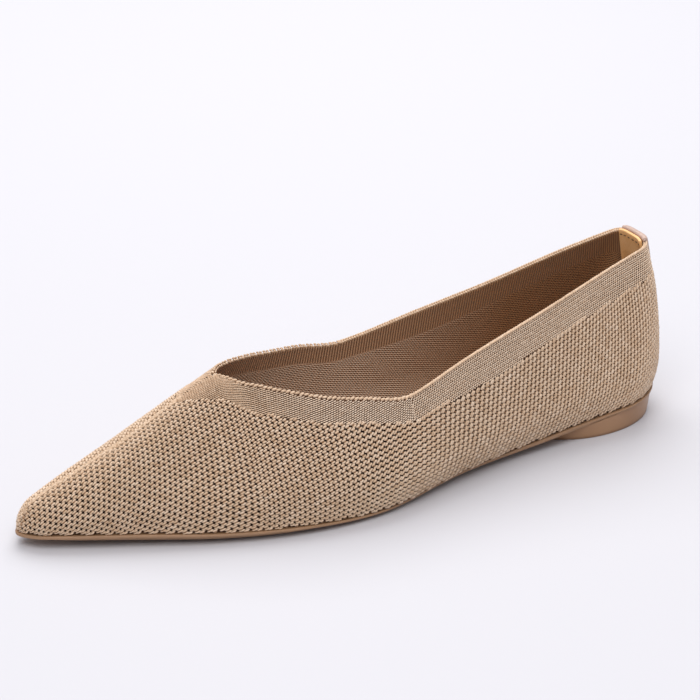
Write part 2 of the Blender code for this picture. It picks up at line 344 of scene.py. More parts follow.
def top_angles(x):
    """The angle of the throat edge, or of the ridge ahead of the V."""
    places = column(TOPLINE, "x")
    heights = (column(TOPLINE, "z") - section("bottom", places)) / rise_at(places)
    angles = np.append(np.arcsin(heights), np.pi / 2)
    found = smooth(np.append(places, THROAT_POINT), angles, np.minimum(x, THROAT_POINT), level=True)
    return np.minimum(found, np.pi / 2)


def band_depth(x):
    """How far the collar band reaches down the wall from the topline, or from the ridge."""
    x = np.asarray(x, float)
    places = np.append(column(TOPLINE, "x"), THROAT_POINT)
    depths = np.append(column(TOPLINE, "band"), BAND_AT_POINT)
    behind = smooth(places, depths, np.minimum(x, THROAT_POINT))
    ahead = BAND_AT_POINT * np.maximum(1 - (x - THROAT_POINT) / BAND_AHEAD, 0)
    return np.where(x > THROAT_POINT, ahead, behind)


class Wall:
    """One side of the last: points and normals on a grid of stations by share of wall length."""

    def __init__(self, side):
        self.side = side
        self.u = np.linspace(0, 1, GRID_U)
        self.x = along(self.u)
        turns = np.linspace(1, 0, FINE_V)
        fine = last_point(self.x[:, None], top_angles(self.x)[:, None] * turns[None, :], side)
        lengths = arc_lengths(fine, axis=1)
        self.total = lengths[:, -1]
        share = np.linspace(0, 1, GRID_V)
        self.points = np.empty((GRID_U, GRID_V, 3))
        for i in range(GRID_U):
            for k in range(3):
                self.points[i, :, k] = np.interp(share * self.total[i], lengths[i], fine[i, :, k])
        # Round the heel the stations are spread along every row as they are along the middle one.
        heel = int(np.searchsorted(self.x, HEEL_EVEN_TO))
        arcs = arc_lengths(self.points[:heel])
        arcs /= arcs[-1]
        wanted = arcs[:, GRID_V // 2]
        for j in range(GRID_V):
            for k in range(3):
                self.points[:heel, j, k] = np.interp(wanted, arcs[:, j], self.points[:heel, j, k])
        ahead = np.gradient(self.points, axis=0)
        downward = np.gradient(self.points, axis=1)
        # On the heel's centre line and on the ridge both sides need the same normal.
        ahead[0] = (0.0, side, 0.0)
        downward[self.x >= THROAT_POINT, 0] = (0.0, side, 0.0)
        normal = side * np.cross(ahead, downward)
        normal[-1] = (1.0, 0.0, 0.0)
        self.normals = unit(normal)
        self.arc = arc_lengths(self.points[:, GRID_V // 2])
        self.edge_arc = arc_lengths(self.points[:, 0])

    def total_at(self, u):
        return np.interp(u, self.u, self.total)

    def at(self, u, down, out=0.0):
        """Points out from the wall at stations u and lengths down from its top, and normals."""
        u = np.clip(np.asarray(u, float), 0, 1)
        v = np.clip(np.asarray(down, float) / np.maximum(self.total_at(u), 1e-6), 0, 1)
        u, v = np.broadcast_arrays(u, v)
        fi = u * (GRID_U - 1)
        fj = v * (GRID_V - 1)
        i = np.clip(fi.astype(int), 0, GRID_U - 2)
        j = np.clip(fj.astype(int), 0, GRID_V - 2)
        a = (fi - i)[..., None]
        b = (fj - j)[..., None]

        def mixed(grid):
            low = grid[i, j] * (1 - a) + grid[i + 1, j] * a
            high = grid[i, j + 1] * (1 - a) + grid[i + 1, j + 1] * a
            return low * (1 - b) + high * b

        normal = unit(mixed(self.normals))
        return mixed(self.points) + np.asarray(out)[..., None] * normal, normal


WALLS = {1: Wall(1), -1: Wall(-1)}
LEFT = WALLS[1]
# The knit's column and row numbers along the top edge, one course of rows for both sides.
COLUMN_AT_TOP = running(np.diff(LEFT.arc) / knit("half_pitch", LEFT.x[1:]))
COLUMN_AT_TOP += knit_lean(LEFT.x) * COLUMNS_SET_AT * LEFT.total
ROW_AT_TOP = (running(np.diff(LEFT.arc) * knit("climb", LEFT.x[1:])) - LEFT.total) / ROW


def to_part(points):
    """Millimetres of the last's frame turned to metres of the part's frame."""
    points = np.array(points, float)
    points[..., 0] -= MIDDLE[0]
    points[..., 1] -= MIDDLE[1]
    return points * MM


def linear(code):
    """A colour from its sRGB hex code, in the linear values that shaders take."""
    parts = [int(code[i:i + 2], 16) / 255 for i in (1, 3, 5)]
    return [p / 12.92 if p <= 0.04045 else ((p + 0.055) / 1.055) ** 2.4 for p in parts] + [1.0]


def add(tree, kind, inputs=None, stops=(), **settings):
    """A node with its settings and a ramp's hex stops.

    Each input takes a value, a socket to link, or a node whose first output is linked.
    """
    node = tree.nodes.new(kind)
    for number, (place, code) in enumerate(stops):
        elements = node.color_ramp.elements
        element = elements[number] if number < 2 else elements.new(place)
        element.position = place
        element.color = linear(code)
    for name, value in settings.items():
        setattr(node, name, value)
    for name, value in (inputs or {}).items():
        socket = node.inputs[name]
        if isinstance(value, bpy.types.Node):
            value = value.outputs[0]
        if isinstance(value, bpy.types.NodeSocket):
            tree.links.new(value, socket)
        else:
            socket.default_value = value
    return node


def new_material(name):
    """A material and its empty node tree."""
    material = bpy.data.materials.new(name)
    material.use_nodes = True
    material.node_tree.nodes.clear()
    return material, material.node_tree


def shade_with(tree, inputs):
    """Ends a material's tree with a Principled shader."""
    add(tree, "ShaderNodeOutputMaterial", {"Surface": add(tree, "ShaderNodeBsdfPrincipled", inputs)})


def yarn(name, shade, middle, light, roughness):
    """Twisted polyester yarn, knitted: matt, with a soft sheen and small changes of tone.

    Its strands are about 0.15 mm, too fine to show, so the fibre bump is drawn at 0.5 mm.
    """
    material, tree = new_material(name)
    where = add(tree, "ShaderNodeTexCoord").outputs["Object"]
    tone = add(tree, "ShaderNodeAttribute", attribute_name="tone").outputs["Fac"]
    fleck = add(tree, "ShaderNodeTexNoise", {"Vector": where, "Scale": 1 / (1.6 * MM), "Detail": 2.0})
    cloud = add(tree, "ShaderNodeTexNoise", {"Vector": where, "Scale": 1 / (26 * MM), "Detail": 1.0})
    spread = add(tree, "ShaderNodeMath", {0: fleck, 1: 0.2, 2: tone}, operation="MULTIPLY_ADD")
    total = add(tree, "ShaderNodeMath", {0: cloud, 1: 0.06, 2: spread}, operation="MULTIPLY_ADD")
    colour = add(tree, "ShaderNodeValToRGB", {"Fac": total}, [(0.3, shade), (0.68, middle), (1.0, light)])
    fibre = add(tree, "ShaderNodeTexNoise", {"Vector": where, "Scale": 1 / (0.5 * MM), "Detail": 1.0})
    bump = add(tree, "ShaderNodeBump", {"Height": fibre, "Strength": 0.25, "Distance": 0.1 * MM})
    shade_with(tree, {"Base Color": colour, "Normal": bump, "Roughness": roughness, "IOR": 1.5,
                      "Specular IOR Level": 0.5, "Sheen Weight": 0.2, "Sheen Roughness": 0.45})
    return material


def backing_material():
    """The inner ply of the knit seen through its gaps, its brown darkened by painted shade: deep brown ahead,
    mid brown round the heel.
    """
    material, tree = new_material("inner ply of the knit, polyester")
    dark = add(tree, "ShaderNodeAttribute", attribute_name="dark").outputs["Fac"]
    where = add(tree, "ShaderNodeTexCoord").outputs["Object"]
    fleck = add(tree, "ShaderNodeTexNoise", {"Vector": where, "Scale": 1 / (1.2 * MM), "Detail": 2.0})
    mixed = add(tree, "ShaderNodeMath", {0: fleck, 1: -0.2, 2: dark}, operation="MULTIPLY_ADD")
    # The darker stops are painted shade in the knit's gaps.
    stops = [(0.0, "#94704E"), (0.4, "#64422A"), (0.9, "#2A1306")]
    colour = add(tree, "ShaderNodeValToRGB", {"Fac": mixed}, stops)
    bump = add(tree, "ShaderNodeBump", {"Height": fleck, "Strength": 0.4, "Distance": 0.15 * MM})
    shade_with(tree, {"Base Color": colour, "Normal": bump, "Roughness": 0.85})
    return material


def lining_material():
    """The inside of the knit, a fine dense rib in brown taupe, with a pale line under the collar band.

    Its rows are 0.9 mm apart and crossed by slanting lines. The band's ribs run across it, 1.1 mm apart.
    """
    material, tree = new_material("inside of the rib knit, polyester")
    place = add(tree, "ShaderNodeSeparateXYZ", {"Vector": add(tree, "ShaderNodeUVMap", uv_map="knit")})
    arc, row = place.outputs["X"], place.outputs["Y"]
    under = add(tree, "ShaderNodeAttribute", attribute_name="under_band").outputs["Fac"]
    drop = add(tree, "ShaderNodeMath", {0: row, 1: 0.9, 2: arc}, operation="MULTIPLY_ADD")
    waves = []
    for value, pitch in ((row, 0.9), (drop, 1.3), (arc, 1.1)):
        turn = add(tree, "ShaderNodeMath", {0: value, 1: 2 * np.pi / pitch}, operation="MULTIPLY")
        waves.append(add(tree, "ShaderNodeMath", {0: turn}, operation="SINE"))
    courses, wales, ribs = waves
    both = add(tree, "ShaderNodeMath", {0: wales, 1: 0.6, 2: courses}, operation="MULTIPLY_ADD")
    in_band = add(tree, "ShaderNodeMapRange",
                  {"Value": under, "From Min": -0.4, "From Max": 0.4, "To Min": 1.0, "To Max": 0.0})
    height = add(tree, "ShaderNodeMix", {0: in_band, 2: both, 3: ribs}, data_type="FLOAT")
    rows = add(tree, "ShaderNodeMapRange", {"Value": height, "From Min": -1.4, "From Max": 1.4})
    # Below the band and in it, the lining is dark and dense behind and pale and open near the V.
    front = add(tree, "ShaderNodeMapRange", {"Value": arc, "From Min": 65.0, "From Max": 135.0})
    zones = []
    for codes in ((("#704926", "#9E7046", "#B88859"), ("#3E220E", "#C6A07E", "#FFEFDC")),
                  (("#744C2A", "#A2744A", "#BA8C5E"), ("#5A381E", "#AC8460", "#E4C09C"))):
        behind, ahead = (add(tree, "ShaderNodeValToRGB", {"Fac": rows}, zip((0.0, 0.5, 1.0), stops))
                         for stops in codes)
        mix = add(tree, "ShaderNodeMix", {0: front, 6: behind, 7: ahead}, data_type="RGBA")
        zones.append(mix.outputs[2])
    colour = add(tree, "ShaderNodeMix", {0: in_band, 6: zones[0], 7: zones[1]}, data_type="RGBA").outputs[2]
    seam = add(tree, "ShaderNodeMath", {0: under}, operation="ABSOLUTE")
    line = add(tree, "ShaderNodeMapRange",
               {"Value": seam, "From Min": 0.25, "From Max": 0.7, "To Min": 0.7, "To Max": 0.0})
    pale = add(tree, "ShaderNodeMath", {0: line, 1: front}, operation="MULTIPLY")
    seamed = add(tree, "ShaderNodeMix", {0: pale, 6: colour, 7: linear("#CDB096")}, data_type="RGBA")
    bump = add(tree, "ShaderNodeBump", {"Height": height, "Strength": 0.9, "Distance": 0.16 * MM})
    shade_with(tree, {"Base Color": seamed.outputs[2], "Normal": bump, "Roughness": 0.8,
                      "Sheen Weight": 0.15})
    return material


def leather(name, shade, middle, light, roughness, grain, depth):
    """Finished leather: a fine pebble grain with a low gloss, a little darker in the pores."""
    material, tree = new_material(name)
    where = add(tree, "ShaderNodeTexCoord").outputs["Object"]
    cells = add(tree, "ShaderNodeTexVoronoi", {"Vector": where, "Scale": 1 / (grain * MM)},
                feature="SMOOTH_F1")
    cloud = add(tree, "ShaderNodeTexNoise", {"Vector": where, "Scale": 1 / (9 * MM), "Detail": 4.0})
    mixed = add(tree, "ShaderNodeMath", {0: cells, 1: -0.3, 2: cloud}, operation="MULTIPLY_ADD")
    colour = add(tree, "ShaderNodeValToRGB", {"Fac": mixed}, [(0.15, shade), (0.4, middle), (0.65, light)])
    gloss = add(tree, "ShaderNodeMapRange", {"Value": cloud, "From Min": 0.3, "From Max": 0.7,
                                             "To Min": roughness - 0.05, "To Max": roughness + 0.07})
    bump = add(tree, "ShaderNodeBump", {"Height": cells, "Strength": depth, "Distance": 0.08 * MM},
               invert=True)
    shade_with(tree, {"Base Color": colour, "Roughness": gloss, "Normal": bump, "IOR": 1.5})
    return material


def moulded(name, low, middle, light, roughness, edge_from, edge_to):
    """Moulded and lacquered plastic: satin, with faint flow clouds, and painted shade where it meets the
    floor.
    """
    material, tree = new_material(name)
    where = add(tree, "ShaderNodeTexCoord").outputs["Object"]
    height = add(tree, "ShaderNodeSeparateXYZ", {"Vector": where}).outputs["Z"]
    cloud = add(tree, "ShaderNodeTexNoise", {"Vector": where, "Scale": 1 / (14 * MM), "Detail": 3.0})
    colour = add(tree, "ShaderNodeValToRGB", {"Fac": cloud}, [(0.3, middle), (0.7, light)])
    # The lowest millimetres mix towards the low colour: painted shade where the piece meets the floor.
    foot = add(tree, "ShaderNodeMapRange", {"Value": height, "From Min": edge_from * MM,
                                            "From Max": edge_to * MM, "To Min": 0.6, "To Max": 0.0})
    floor_shaded = add(tree, "ShaderNodeMix", {0: foot, 6: colour, 7: linear(low)}, data_type="RGBA")
    fine = add(tree, "ShaderNodeTexNoise", {"Vector": where, "Scale": 1 / (0.8 * MM), "Detail": 2.0})
    bump = add(tree, "ShaderNodeBump", {"Height": fine, "Strength": 0.08, "Distance": 0.05 * MM})
    gloss = add(tree, "ShaderNodeMapRange", {"Value": cloud, "From Min": 0.3, "From Max": 0.7,
                                             "To Min": roughness - 0.04, "To Max": roughness + 0.05})
    shade_with(tree, {"Base Color": floor_shaded.outputs[2], "Roughness": gloss, "Normal": bump, "IOR": 1.5})
    return material


KNIT_YARN = yarn("twisted polyester yarn, open knit", "#8F6845", "#D3B494", "#F0DBC4", 0.52)
BAND_YARN = yarn("twisted polyester yarn, fine rib", "#8F6A47", "#D4B494", "#EFD9C1", 0.52)
BACKING = backing_material()
LINING = lining_material()
TAB_LEATHER = leather("smooth finished leather, mauve taupe", "#A58A7B", "#BC9F90", "#CAB0A3", 0.45, 0.7, 0.2)
GRIP_LEATHER = leather("vegetable tanned leather, tan", "#DAA468", "#F2BC7E", "#FBCA90", 0.5, 0.6, 0.2)
SOCK_LEATHER = leather("split leather sock, tan", "#9A7352", "#AD8562", "#BD9673", 0.6, 0.9, 0.3)
# The first colour of each moulded piece is the painted shade at its foot.
SOLE_RUBBER = moulded("moulded rubber sole, tan brown", "#72523A", "#9C795A", "#A68263", 0.45, -1.0, 1.5)
HEEL_PLASTIC = moulded("lacquered plastic heel, taupe", "#785539", "#A27A59", "#AB8463", 0.38, 0.2, 1.6)
TAN_THREAD = yarn("waxed sewing thread, brown", "#4A2E18", "#6A4424", "#835A34", 0.5)


def new_object(name, points, faces, materials):
    """An object at the origin from points in millimetres of the last's frame."""
    mesh = bpy.data.meshes.new(name)
    mesh.from_pydata(to_part(points).tolist(), [], faces)
    for material in materials:
        mesh.materials.append(material)
    thing = bpy.data.objects.new(name, mesh)
    bpy.context.scene.collection.objects.link(thing)
    return thing


def closed_up(thing, turn_out=True):
    """Joins points that coincide, drops faces without area, and shades the surface smooth."""
    work = bmesh.new()
    work.from_mesh(thing.data)
    bmesh.ops.remove_doubles(work, verts=work.verts, dist=2e-6)
    bmesh.ops.dissolve_degenerate(work, edges=work.edges, dist=1e-7)
    if turn_out:
        bmesh.ops.recalc_face_normals(work, faces=work.faces)
    work.to_mesh(thing.data)
    work.free()
    for polygon in thing.data.polygons:
        polygon.use_smooth = True
    return thing


def ring_faces(rows, count, joined=False, leave_out=()):
    """Faces over a row of closed loops with as many points each. Joined, the last meets the first."""
    faces = []
    for row in range(rows if joined else rows - 1):
        after = (row + 1) % rows
        for i in range(count):
            k = (i + 1) % count
            if (row, i) not in leave_out:
                faces.append((row * count + i, row * count + k, after * count + k, after * count + i))
    return faces


def stations(count):
    """(u, side) round the shoe: the left side to the toe, then the right side back."""
    us = np.linspace(0, 1, count)
    for place in (THROAT_POINT, BAND_FRONT):
        us[np.argmin(np.abs(along(us) - place))] = station_of(place)
    return np.concatenate([us, us[-2:0:-1]]), np.concatenate([np.ones(count), -np.ones(count - 2)])


def totals(us, sides):
    """The wall's length from top to feather edge at stations on both sides."""
    return np.where(sides > 0, WALLS[1].total_at(us), WALLS[-1].total_at(us))


def on_sides(us, sides, down, out):
    """Points and normals at stations on both sides, in the order given."""
    points = np.empty((len(us), 3))
    normals = np.empty((len(us), 3))
    for side, wall in WALLS.items():
        these = sides == side
        points[these], normals[these] = wall.at(us[these], down[these], out)
    return points, normals


def build_shell():
    """The knit's inner ply with its lining: a closed wall behind the stitches, open at the throat."""
    us, sides = stations(SHELL_U)
    xs = along(us)
    total = totals(us, sides)
    band = band_depth(xs)
    shares = np.linspace(0, 1, SHELL_V)
    loops, rows_uv, under, dark = [], [], [], []
    arc = np.interp(us, LEFT.u, LEFT.arc)
    row_top = np.interp(us, LEFT.u, ROW_AT_TOP) * ROW
    for share, out in [(s, BACKING_OUT) for s in shares[::-1]] + [(s, -WALL) for s in shares]:
        down = share * total
        loops.append(on_sides(us, sides, down, out)[0])
        rows_uv.append(np.column_stack([arc, row_top + down]))
        under.append(down - band)
        # Gaps are wide in the open knit only, away from the band and the sole; there the shade painted on the
        # inner ply follows the knit's table, elsewhere the band's.
        from_band = np.where(xs > BAND_FRONT, 9.0, down - band)
        open_share = np.clip(np.minimum(from_band, total - down) / 1.5, 0.0, 1.0)
        under_fine = np.interp(xs, *np.transpose(BAND_DARK))
        dark.append(under_fine + (knit("dark", xs) - under_fine) * open_share)
    count = len(us)
    rim_row = len(shares) - 1
    point = station_of(THROAT_POINT) - 1e-6
    ridge = [i for i in range(count) if min(us[i], us[(i + 1) % count]) > point]
    faces = ring_faces(len(loops), count, joined=True, leave_out={(rim_row, i) for i in ridge})
    shell = new_object("knit_inner_ply", np.array(loops).reshape(-1, 3), faces, [BACKING, LINING])
    mesh = shell.data
    uv = mesh.uv_layers.new(name="knit")
    per_point = np.array(rows_uv).reshape(-1, 2)
    corners = np.empty(len(mesh.loops), int)
    mesh.loops.foreach_get("vertex_index", corners)
    uv.data.foreach_set("uv", per_point[corners].astype(np.float32).ravel())
    for name, values in (("under_band", under), ("dark", dark)):
        attribute = mesh.attributes.new(name, "FLOAT", "POINT")
        attribute.data.foreach_set("value", np.array(values).astype(np.float32).ravel())
    inside = np.array([max(face) >= len(shares) * count for face in faces])
    mesh.polygons.foreach_set("material_index", inside.astype(np.int32))
    return closed_up(shell)


def bead_tree():
    """Beads on points: each a ball drawn out to the point's own size and turned by its own turn."""
    tree = bpy.data.node_groups.new("beads on places", "GeometryNodeTree")
    wanted = (("Places", "NodeSocketGeometry"), ("Length", "NodeSocketFloat"), ("Width", "NodeSocketFloat"),
              ("Depth", "NodeSocketFloat"), ("Sides", "NodeSocketInt"), ("Rings", "NodeSocketInt"),
              ("Yarn", "NodeSocketMaterial"))
    for name, kind in wanted:
        tree.interface.new_socket(name, in_out="INPUT", socket_type=kind)
    tree.interface.new_socket("Beads", in_out="OUTPUT", socket_type="NodeSocketGeometry")
    given = add(tree, "NodeGroupInput").outputs
    ball = add(tree, "GeometryNodeMeshUVSphere",
               {"Segments": given["Sides"], "Rings": given["Rings"], "Radius": 0.5})
    soft = add(tree, "GeometryNodeSetShadeSmooth", {"Geometry": ball})
    turn = add(tree, "GeometryNodeInputNamedAttribute", {"Name": "turn"}, data_type="QUATERNION")
    own = add(tree, "GeometryNodeInputNamedAttribute", {"Name": "size"}, data_type="FLOAT_VECTOR")
    usual = add(tree, "ShaderNodeCombineXYZ",
                {"X": given["Width"], "Y": given["Depth"], "Z": given["Length"]})
    size = add(tree, "ShaderNodeVectorMath", {0: usual, 1: own}, operation="MULTIPLY")
    placed = add(tree, "GeometryNodeInstanceOnPoints",
                 {"Points": given["Places"], "Instance": soft, "Rotation": turn, "Scale": size})
    real = add(tree, "GeometryNodeRealizeInstances", {"Geometry": placed})
    finished = add(tree, "GeometryNodeSetMaterial", {"Geometry": real, "Material": given["Yarn"]})
    add(tree, "NodeGroupOutput", {"Beads": finished})
    return tree


BEAD_TREE = bead_tree()


def beads(name, places, size, material, sides=BEAD_SIDES, rings=BEAD_RINGS):
    """A plain mesh of beads. Places hold points, the axes across, out and along, own sizes and tones."""
    points, across, out, long, own, tone = places
    thing = new_object(name, points, [], [material])
    axes = np.stack([across, out, long], axis=-1)
    turns = np.array([Matrix(m).to_quaternion() for m in axes])
    kinds = (("turn", "QUATERNION", turns), ("size", "FLOAT_VECTOR", own), ("tone", "FLOAT", tone))
    for key, kind, values in kinds:
        attribute = thing.data.attributes.new(key, kind, "POINT")
        field = "vector" if kind == "FLOAT_VECTOR" else "value"
        attribute.data.foreach_set(field, np.asarray(values, np.float32).ravel())
    modifier = thing.modifiers.new("beads", "NODES")
    modifier.node_group = BEAD_TREE
    given = {"Length": size[0] * MM, "Width": size[1] * MM, "Depth": size[2] * MM,
             "Sides": sides, "Rings": rings, "Yarn": material}
    for item in BEAD_TREE.interface.items_tree:
        if item.in_out == "INPUT" and item.name in given:
            modifier[item.identifier] = given[item.name]
    bpy.context.view_layer.update()
    evaluated = thing.evaluated_get(bpy.context.evaluated_depsgraph_get())
    made = bpy.data.meshes.new_from_object(evaluated)
    thing.modifiers.clear()
    thing.data = made
    made.name = name
    for key in ("turn", "size"):
        if key in made.attributes:
            made.attributes.remove(made.attributes[key])
    return thing


def joined(parts):
    """The matching arrays of several parts, each put end to end."""
    return [np.concatenate(values) for values in zip(*parts)]


def lattice(wall, row_of_top, row_size, column_of_top, lean, depth_from, depth_to, staggered=True):
    """Stations, depths and row numbers of the crossings of a knit's rows and columns on one side.

    Crossings within half a column of the heel's centre line are the left side's.
    """
    us = np.linspace(0, 1, SEARCH_U)
    xs = along(us)
    tops = np.interp(us, wall.u, row_of_top)
    columns_at_top = np.interp(us, wall.u, column_of_top)
    low, high = depth_from(us), depth_to(us)
    first = int(np.floor(np.min(tops + low / row_size)))
    last = int(np.ceil(np.max(tops + high / row_size)))
    found = []
    for row in range(first, last + 1):
        down = row_size * (row - tops)
        columns = columns_at_top - lean(xs) * down
        columns = np.maximum.accumulate(columns + 1e-9 * np.arange(len(us)))
        wanted = np.arange(np.ceil(columns[0] - 0.5 * wall.side), np.floor(columns[-1]) + 1)
        if staggered:
            wanted = wanted[(wanted + row) % 2 == 0]
        at = np.interp(wanted, columns, us)
        depth = np.interp(at, us, down)
        keep = (depth > np.interp(at, us, low)) & (depth < np.interp(at, us, high))
        found.append(np.column_stack([at, depth, np.full(len(at), row)])[keep])
    return np.concatenate(found)


def strokes(wall, u, down, row_of_top, degrees):
    """Points, normals, the direction up, and the axes of beads turned up from their row by degrees.

    Right and up are as seen from outside, and right runs along the row.
    """
    step = 0.002
    starts = np.interp(u, wall.u, row_of_top)
    before, after = np.clip(u - step, 0, 1), np.clip(u + step, 0, 1)
    behind = wall.at(before, down + (starts - np.interp(before, wall.u, row_of_top)))[0]
    ahead = wall.at(after, down + (starts - np.interp(after, wall.u, row_of_top)))[0]
    point, normal = wall.at(u, down)
    right = -wall.side * (ahead - behind)
    right -= normal * np.sum(right * normal, axis=1, keepdims=True)
    right = unit(right)
    up = np.cross(normal, right)
    turn = np.radians(degrees)[:, None]
    return point, normal, up, lying(normal, np.cos(turn) * right + np.sin(turn) * up)


def lying(normal, direction, tip=0.0):
    """Axes of beads that lie on the wall along a direction and stand proud at that end by tip degrees."""
    long = unit(direction - normal * np.sum(direction * normal, axis=1, keepdims=True))
    long = np.cos(np.radians(tip)) * long + np.sin(np.radians(tip)) * normal
    out = unit(normal - long * np.sum(normal * long, axis=1, keepdims=True))
    return np.cross(out, long), out, long


def knit_steps(wall, u, down):
    """Points and normals of stitches, and the steps to the next column on the right and the next row up."""
    before, after = np.clip(u - 0.001, 0, 1), np.clip(u + 0.001, 0, 1)
    above, below = np.maximum(down - 0.3, 0), down + 0.3

    def columns(at):
        return np.interp(at, wall.u, COLUMN_AT_TOP) - knit_lean(along(at)) * down

    along_u = (wall.at(after, down)[0] - wall.at(before, down)[0]) / (after - before)[:, None]
    along_down = (wall.at(u, below)[0] - wall.at(u, above)[0]) / (below - above)[:, None]
    column_u = (columns(after) - columns(before)) / (after - before)
    column_down = -knit_lean(along(u))
    row_u = (np.interp(after, wall.u, ROW_AT_TOP) - np.interp(before, wall.u, ROW_AT_TOP)) / (after - before)
    row_down = 1 / ROW
    area = column_u * row_down - column_down * row_u
    ahead = (row_down / area)[:, None] * along_u - (row_u / area)[:, None] * along_down
    lower = (-column_down / area)[:, None] * along_u + (column_u / area)[:, None] * along_down
    point, normal = wall.at(u, down)
    return point, normal, -wall.side * ahead, -lower


def knit_places(side, chance):
    """The stitches of the open knit on one side: two slanted legs each, and a bridge down to the right."""
    wall = WALLS[side]

    def depth_from(u):
        # The stitches on the ridge itself are the left side's.
        return np.where(along(u) > BAND_FRONT, -0.5 * side, band_depth(along(u)) + 0.1)

    def depth_to(u):
        return wall.total_at(u) - 0.15

    found = lattice(wall, ROW_AT_TOP, ROW, COLUMN_AT_TOP, knit_lean, depth_from, depth_to)
    u, down = found[:, 0], np.maximum(found[:, 1], 0)
    x = along(u)
    count = len(u)
    apart = knit("apart", x)[:, None]
    point, normal, right, up = knit_steps(wall, u, down)
    slant = knit("slant", x)
    rising, falling = slant[:, None] * right + (2 - slant[:, None]) * up, right - up
    rise_length, fall_length = np.linalg.norm(rising, axis=1), np.linalg.norm(falling, axis=1)
    lines_apart = 2 * np.linalg.norm(np.cross(right, up), axis=1) / rise_length
    stitch_tone = chance.normal(0, TONE_SPREAD, count)
    flat = np.ones(count)
    parts = []
    for leg in (-1, 1):
        axes = lying(normal, rising + chance.normal(0, 0.06, count)[:, None] * up, LEG_TIP)
        sink = 0.5 * LEG_DEPTH + LEG_SINK + chance.normal(0, 0.03, count)
        centre = point + leg * (apart * right + LEG_RISE * up) - sink[:, None] * normal
        own = np.column_stack([knit("wide", x) * lines_apart, flat, knit("long", x) * rise_length])
        parts.append((centre, *axes, own, LEG_TONE + stitch_tone + chance.normal(0, 0.025, count), x))
    centre = point + 0.5 * falling - (0.5 * LEG_DEPTH + LEG_SINK + BRIDGE_SINK) * normal
    # Upright stitches have narrower and longer bridges.
    wide = BRIDGE_WIDTH * (0.4 + 0.6 * slant) * rise_length
    long = BRIDGE_LENGTH * (1.3 - 0.3 * slant) * fall_length
    own = np.column_stack([wide, flat, long])
    # The bridge's low tone is painted shade in the crease where it lies.
    parts.append((centre, *lying(normal, falling), own, BRIDGE_TONE + stitch_tone, x))
    return joined(parts)


def fill_places(chance):
    """Stitches that close the lines where the sides meet: the ridge ahead of the band and the heel back."""
    start, end = np.interp(station_of([BAND_FRONT - 3.0, LENGTH - 1.0]), LEFT.u, LEFT.edge_arc)
    ridge = np.interp(np.arange(start, end, FILL_PITCH), LEFT.edge_arc, LEFT.u)
    heel = np.arange(band_depth(0.0) + 0.8, LEFT.total[0] - 0.5, FILL_PITCH)
    # One row on the ridge, one beside it on the right, and one down the heel back, each a little deeper.
    lines = (
        (LEFT, ridge, np.zeros(len(ridge)), 0.18),
        (WALLS[-1], ridge, np.full(len(ridge), FILL_ASIDE), 0.25),
        (LEFT, np.zeros(len(heel)), heel, 0.18),
    )
    parts = []
    for wall, u, down, sunk in lines:
        count = len(u)
        degrees = FILL_SLANT * (-1.0) ** np.arange(count)
        point, normal, _, axes = strokes(wall, u, down, np.zeros(GRID_U), degrees)
        centre = point - (0.5 * LEG_DEPTH + sunk) * normal
        own = np.tile(FILL_SIZE, (count, 1))
        parts.append((centre, *axes, own, FILL_TONE + chance.normal(0, LOOP_SPREAD, count), along(u)))
    return joined(parts)


def build_knit(chance):
    """The open knit in four pieces, ahead of and behind the ball on each side."""
    size = (1.0, 1 / FLAT_SHARE, LEG_DEPTH / FLAT_SHARE)
    pieces = []
    for side, word in SIDES:
        places = knit_places(side, chance)
        if side > 0:
            places = joined([places, fill_places(chance)])
        ahead = places[-1] > VAMP_FROM
        for these, place in ((ahead, "vamp"), (~ahead, "quarter")):
            chosen = [values[these] for values in places[:-1]]
            pieces.append(beads(f"knit_{word}_{place}", chosen, size, KNIT_YARN))
    return pieces


